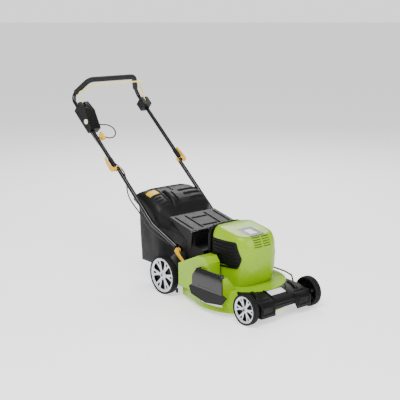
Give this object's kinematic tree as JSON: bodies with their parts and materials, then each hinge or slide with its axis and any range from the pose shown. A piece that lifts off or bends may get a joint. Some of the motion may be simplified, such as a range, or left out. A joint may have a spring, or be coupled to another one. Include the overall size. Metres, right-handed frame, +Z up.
{
  "type": "push lawn mower",
  "caption": "Electric push lawn mower with a lime steel deck, domed motor cowl, folding tube handle with cam clamps, and a lidded soft grass catcher.",
  "frame": {"origin": "on the ground, under the middle of the mower's length and width", "axes": "+X to the operator's left, +Y backwards towards the operator, +Z up"},
  "size_m": [0.516, 1.5037, 1.0542],
  "materials": {
    "lime_enamel": "gloss lime green enamel on pressed steel",
    "lime_plastic": "gloss lime green moulding",
    "black_plastic": "fine grained black moulding",
    "grey_plastic": "fine grained dark grey moulding",
    "silver_plastic": "silver painted wheel disc",
    "yellow_plastic": "yellow moulding",
    "yellow_enamel": "yellow coated rod",
    "cream_plastic": "pale button moulding",
    "label_film": "blank label",
    "tyre_rubber": "moulded black tread",
    "black_tube": "gloss black coated steel tube",
    "foam_rubber": "black foam sleeve",
    "cable_rubber": "black cable sheath",
    "bag_fabric": "black woven bag",
    "zinc_steel": "zinc plated steel",
    "blade_steel": "dark hardened steel",
    "motor_steel": "laminated steel",
    "bracket_enamel": "black enamel on steel"
  },
  "bodies": {
    "deck": {"deck_shell": "lime_enamel", "front_cover": "black_plastic", "front_label": "label_film", "cowl_shell": "lime_plastic", "cowl_rear_cover": "black_plastic", "cowl_vents": "black_plastic", "cowl_badge": "label_film", "motor_mount": "zinc_steel", "motor_housing": "motor_steel", "motor_bearings": "zinc_steel", "run_capacitor": "grey_plastic", "axle_bushes": "black_plastic", "handle_brackets": "bracket_enamel", "height_quadrant": "bracket_enamel", "chute_frame": "black_plastic", "rear_flap_rod": "zinc_steel", "side_flap_pin": "zinc_steel", "low_clamp_bolts": "yellow_plastic"},
    "front_axle": {"front_axle": "bracket_enamel"},
    "rear_axle": {"rear_axle": "bracket_enamel", "height_lever": "bracket_enamel"},
    "link": {"link_rod": "bracket_enamel"},
    "front_wheel_right": {"tyre_front_right": "tyre_rubber", "rim_front_right": "silver_plastic"},
    "front_wheel_left": {"tyre_front_left": "tyre_rubber", "rim_front_left": "silver_plastic"},
    "rear_wheel_right": {"tyre_rear_right": "tyre_rubber", "rim_rear_right": "silver_plastic"},
    "rear_wheel_left": {"tyre_rear_left": "tyre_rubber", "rim_rear_left": "silver_plastic"},
    "rotor": {"motor_rotor": "motor_steel", "motor_shaft": "zinc_steel", "cooling_fan": "black_plastic", "blade_adapter": "zinc_steel", "blade": "blade_steel", "blade_bolt": "zinc_steel"},
    "side_flap": {"side_flap": "black_plastic"},
    "rear_flap": {"rear_flap": "grey_plastic"},
    "catcher": {"catcher_lid": "grey_plastic", "catcher_bag": "bag_fabric", "catcher_frame": "bracket_enamel"},
    "indicator": {"fill_indicator": "yellow_plastic"},
    "lower_handle": {"lower_tubes": "black_tube", "mid_clamp_bolts": "yellow_plastic", "motor_cable_lower": "cable_rubber"},
    "upper_handle": {"upper_tube": "black_tube", "grip": "foam_rubber", "switch_box": "black_plastic", "microswitch": "black_plastic", "bail_pivot": "black_plastic", "cord_plug": "yellow_plastic", "plug_lead": "cable_rubber", "motor_cable_upper": "cable_rubber"},
    "bail": {"bail": "yellow_enamel"},
    "button": {"switch_button": "cream_plastic"},
    "mid_lever_right": {"mid_lever_right": "yellow_plastic"},
    "mid_lever_left": {"mid_lever_left": "yellow_plastic"},
    "low_lever_right": {"low_lever_right": "yellow_plastic"},
    "low_lever_left": {"low_lever_left": "yellow_plastic"}
  },
  "joints": [
    {"name": "rear_axle_swing", "type": "hinge", "parent": "deck", "child": "rear_axle", "pos_m": [0, -0.11501, 0.085], "axis": [-1, 0, 0], "range_deg": [0, 60]},
    {"name": "front_axle_swing", "type": "hinge", "parent": "deck", "child": "front_axle", "pos_m": [0, -0.71851, 0.06], "axis": [-1, 0, 0], "range_deg": [0, 60]},
    {"name": "link_pivot", "type": "hinge", "parent": "rear_axle", "child": "link", "pos_m": [0.182, -0.12501, 0.121], "axis": [-1, 0, 0], "range_deg": [-60, 0]},
    {"name": "front_wheel_right_spin", "type": "hinge", "parent": "front_axle", "child": "front_wheel_right", "pos_m": [-0.21, -0.67851, 0.075], "axis": [1, 0, 0], "continuous": true},
    {"name": "rear_wheel_right_spin", "type": "hinge", "parent": "rear_axle", "child": "rear_wheel_right", "pos_m": [-0.22, -0.07501, 0.1], "axis": [1, 0, 0], "continuous": true},
    {"name": "front_wheel_left_spin", "type": "hinge", "parent": "front_axle", "child": "front_wheel_left", "pos_m": [0.21, -0.67851, 0.075], "axis": [1, 0, 0], "continuous": true},
    {"name": "rear_wheel_left_spin", "type": "hinge", "parent": "rear_axle", "child": "rear_wheel_left", "pos_m": [0.22, -0.07501, 0.1], "axis": [1, 0, 0], "continuous": true},
    {"name": "blade_spin", "type": "hinge", "parent": "deck", "child": "rotor", "pos_m": [0, -0.42351, 0.044], "axis": [0, 0, 1], "continuous": true},
    {"name": "side_flap_lift", "type": "hinge", "parent": "deck", "child": "side_flap", "pos_m": [-0.238, -0.45201, 0.205], "axis": [0, 1, 0], "range_deg": [0, 70], "stiffness_Nm_per_rad": 0.25, "springref_deg": -28.65},
    {"name": "rear_flap_lift", "type": "hinge", "parent": "deck", "child": "rear_flap", "pos_m": [0, -0.21451, 0.342], "axis": [1, 0, 0], "range_deg": [0, 50], "stiffness_Nm_per_rad": 0.3, "springref_deg": -28.65},
    {"name": "catcher_slide", "type": "slide", "parent": "deck", "child": "catcher", "axis": [0, 1, 0], "range_m": [0, 0.16]},
    {"name": "indicator_lift", "type": "hinge", "parent": "catcher", "child": "indicator", "pos_m": [-0.127, 0.11549, 0.4725], "axis": [1, 0, 0], "range_deg": [0, 25]},
    {"name": "lower_handle_fold", "type": "hinge", "parent": "deck", "child": "lower_handle", "pos_m": [0, -0.11791, 0.22941], "axis": [1, 0, 0], "range_deg": [0, 115]},
    {"name": "upper_handle_fold", "type": "hinge", "parent": "lower_handle", "child": "upper_handle", "pos_m": [0, 0.33349, 0.5926], "axis": [-1, 0, 0], "range_deg": [0, 120]},
    {"name": "mid_lever_right_cam", "type": "hinge", "parent": "lower_handle", "child": "mid_lever_right", "pos_m": [-0.247, 0.33349, 0.5926], "axis": [0, -0.6386, 0.7695], "range_deg": [0, 120]},
    {"name": "low_lever_right_cam", "type": "hinge", "parent": "deck", "child": "low_lever_right", "pos_m": [-0.171, -0.11791, 0.22941], "axis": [0, 0.6386, -0.7695], "range_deg": [0, 120]},
    {"name": "mid_lever_left_cam", "type": "hinge", "parent": "lower_handle", "child": "mid_lever_left", "pos_m": [0.247, 0.33349, 0.5926], "axis": [0, 0.6386, -0.7695], "range_deg": [0, 120]},
    {"name": "low_lever_left_cam", "type": "hinge", "parent": "deck", "child": "low_lever_left", "pos_m": [0.171, -0.11791, 0.22941], "axis": [0, -0.6386, 0.7695], "range_deg": [0, 120]},
    {"name": "bail_pull", "type": "hinge", "parent": "upper_handle", "child": "bail", "pos_m": [0, 0.65536, 0.90001], "axis": [-1, 0, 0], "range_deg": [0, 24], "stiffness_Nm_per_rad": 0.5, "springref_deg": -68.75},
    {"name": "button_press", "type": "slide", "parent": "upper_handle", "child": "button", "axis": [1, 0, 0], "range_m": [0, 0.005], "stiffness_N_per_m": 300, "springref_m": -0.004}
  ],
  "couplings": [
    {"joint": "front_axle_swing", "follows": "rear_axle_swing", "ratio": 1},
    {"joint": "link_pivot", "follows": "rear_axle_swing", "ratio": -1}
  ]
}
